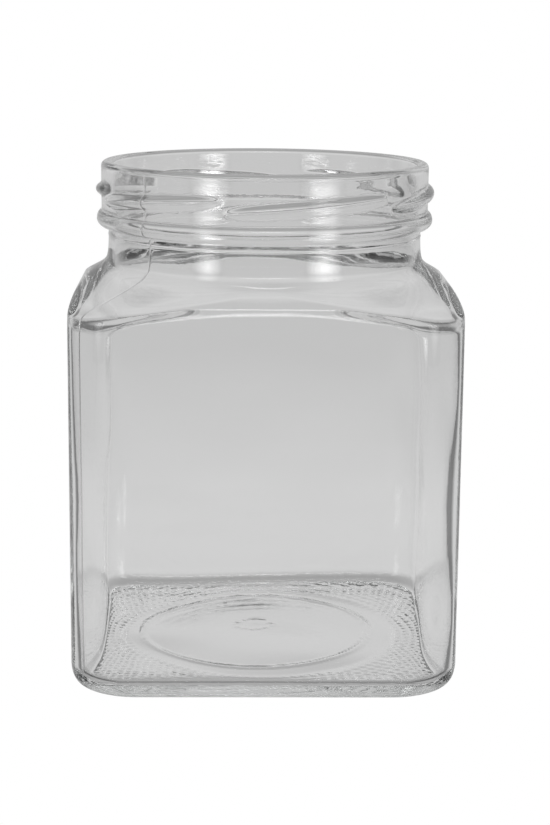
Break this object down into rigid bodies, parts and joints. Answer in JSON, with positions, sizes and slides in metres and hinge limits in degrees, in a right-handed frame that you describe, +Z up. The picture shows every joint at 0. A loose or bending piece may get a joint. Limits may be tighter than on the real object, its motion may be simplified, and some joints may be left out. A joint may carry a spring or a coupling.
{
  "type": "square glass jar",
  "caption": "Square clear glass storage jar with rounded corners, a low shoulder and a wide round screw neck with twist-off lugs, open at the top.",
  "frame": {"origin": "middle of the base, on the plane that the jar stands on", "axes": "+Z up along the neck's axis, front face towards -Y, +X to the right seen from the front"},
  "size_m": [0.09, 0.09, 0.12],
  "materials": {
    "glass": "clear moulded flint glass, fire-polished"
  },
  "bodies": {
    "root": {"glass_jar": "glass"}
  },
  "joints": []
}
